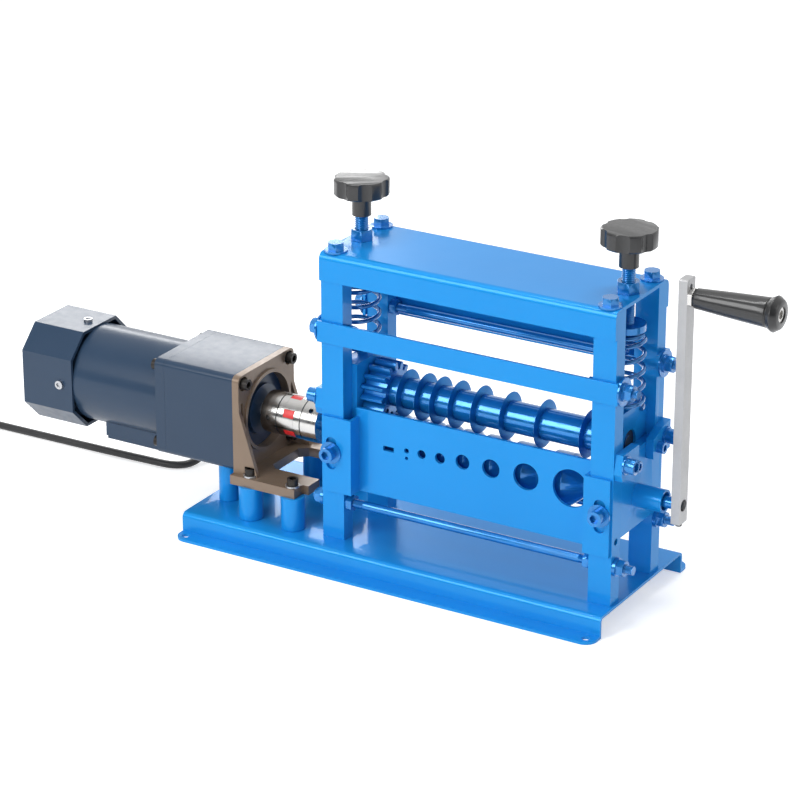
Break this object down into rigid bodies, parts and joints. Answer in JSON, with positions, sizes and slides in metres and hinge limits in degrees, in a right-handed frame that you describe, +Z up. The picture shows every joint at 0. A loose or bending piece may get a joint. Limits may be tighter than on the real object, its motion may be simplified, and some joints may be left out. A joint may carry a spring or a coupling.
{
  "type": "wire stripping machine",
  "caption": "Bench machine that slits cable sheaths between round blades on a sprung upper shaft and a grooved feed roller, driven by a gearmotor or a hand crank.",
  "frame": {"origin": "on the bench, at the centre of the four bolt holes of the base", "axes": "+X along the shafts from the motor to the crank, +Y to the back, +Z up"},
  "size_m": [0.9439, 0.1852, 0.338],
  "materials": {
    "blue_paint": "glossy blue powder coat",
    "blue_metal": "glossy blue coat over turned steel, screws, nuts and rods",
    "zinc_steel": "plain zinc plating",
    "machined_steel": "turned and milled steel",
    "bright_steel": "polished steel",
    "spring_steel": "bright blued spring wire",
    "black_steel": "black oxide",
    "bronze_casting": "satin champagne bronze",
    "slate_paint": "satin slate blue-grey",
    "black_plastic": "satin black",
    "grip_plastic": "glossy dark moulded plastic",
    "red_elastomer": "smooth red polyurethane",
    "lever_aluminium": "satin bright metal",
    "cord_rubber": "black sheath"
  },
  "bodies": {
    "frame": {"base_plate": "blue_paint", "base_screws": "zinc_steel", "post_front_left": "blue_paint", "post_front_right": "blue_paint", "post_rear_left": "blue_paint", "post_rear_right": "blue_paint", "top_channel": "blue_paint", "channel_bolts": "blue_metal", "channel_nuts": "blue_metal", "front_strip": "blue_paint", "rear_strip": "blue_paint", "tie_rods": "blue_metal", "tie_rod_nuts": "blue_metal", "lower_block_left": "blue_paint", "lower_block_right": "blue_paint", "lower_bushes": "blue_metal", "retainer_plates": "blue_paint", "retainer_screws": "blue_metal", "guide_screws": "blue_metal", "motor_bracket": "bronze_casting", "bracket_screws": "black_steel", "standoffs": "blue_paint", "gearbox_housing": "slate_paint", "gearbox_flange": "slate_paint", "motor_screws": "black_steel", "motor_can": "slate_paint", "fan_cover": "slate_paint", "terminal_box": "slate_paint", "cable_gland": "black_plastic", "power_cord": "cord_rubber", "cord_coil": "cord_rubber", "mains_plug": "black_plastic", "spring_left": "spring_steel", "spring_right": "spring_steel"},
    "lower_shaft": {"lower_shaft": "blue_metal", "lower_gear": "blue_metal", "feed_roller": "blue_metal", "gearbox_shaft": "machined_steel", "coupling_hub_motor": "bright_steel", "coupling_hub_shaft": "bright_steel", "coupling_spider": "red_elastomer", "crank_lever": "lever_aluminium", "lever_set_screw": "black_steel", "grip_bolt": "bright_steel"},
    "grip": {"crank_grip": "grip_plastic"},
    "carriage": {"upper_block_left": "blue_paint", "upper_block_right": "blue_paint", "upper_bushes": "blue_metal"},
    "upper_shaft": {"upper_shaft": "blue_metal", "upper_gear": "blue_metal", "blades": "blue_metal", "blade_spacers": "blue_metal"},
    "knob_left": {"knob_left": "grip_plastic", "stud_left": "blue_metal"},
    "knob_right": {"knob_right": "grip_plastic", "stud_right": "blue_metal"},
    "seat_left": {"spring_seat_left": "blue_metal"},
    "seat_right": {"spring_seat_right": "blue_metal"},
    "guide": {"guide_plate": "blue_paint"}
  },
  "joints": [
    {"name": "lower_shaft_spin", "type": "hinge", "parent": "frame", "child": "lower_shaft", "pos_m": [0.0652, -0.0093, 0.105], "axis": [1, 0, 0], "continuous": true},
    {"name": "grip_spin", "type": "hinge", "parent": "lower_shaft", "child": "grip", "pos_m": [0.29, -0.0093, 0.2886], "axis": [1, 0, 0], "continuous": true},
    {"name": "blade_lift", "type": "slide", "parent": "frame", "child": "carriage", "axis": [0, 0, 1], "range_m": [0, 0.0016], "stiffness_N_per_m": 4000, "springref_m": -0.002},
    {"name": "upper_shaft_spin", "type": "hinge", "parent": "carriage", "child": "upper_shaft", "pos_m": [0.0652, -0.0093, 0.1506], "axis": [1, 0, 0], "continuous": true},
    {"name": "guide_slide", "type": "slide", "parent": "frame", "child": "guide", "axis": [0, 0, 1], "range_m": [-0.003, 0.01]},
    {"name": "seat_slide_left", "type": "slide", "parent": "frame", "child": "seat_left", "axis": [0, 0, 1], "range_m": [-0.007, 0.0035], "deforming": ["spring_left"]},
    {"name": "knob_turn_left", "type": "hinge", "parent": "seat_left", "child": "knob_left", "pos_m": [-0.0618, -0.0093, 0.3], "axis": [0, 0, 1], "range_deg": [-1440, 720]},
    {"name": "seat_slide_right", "type": "slide", "parent": "frame", "child": "seat_right", "axis": [0, 0, 1], "range_m": [-0.007, 0.0035], "deforming": ["spring_right"]},
    {"name": "knob_turn_right", "type": "hinge", "parent": "seat_right", "child": "knob_right", "pos_m": [0.1922, -0.0093, 0.3], "axis": [0, 0, 1], "range_deg": [-1440, 720]}
  ],
  "couplings": [
    {"joint": "upper_shaft_spin", "follows": "lower_shaft_spin", "ratio": -1},
    {"joint": "knob_turn_left", "follows": "seat_slide_left", "rad_per_m": 3590.4},
    {"joint": "knob_turn_right", "follows": "seat_slide_right", "rad_per_m": 3590.4}
  ]
}
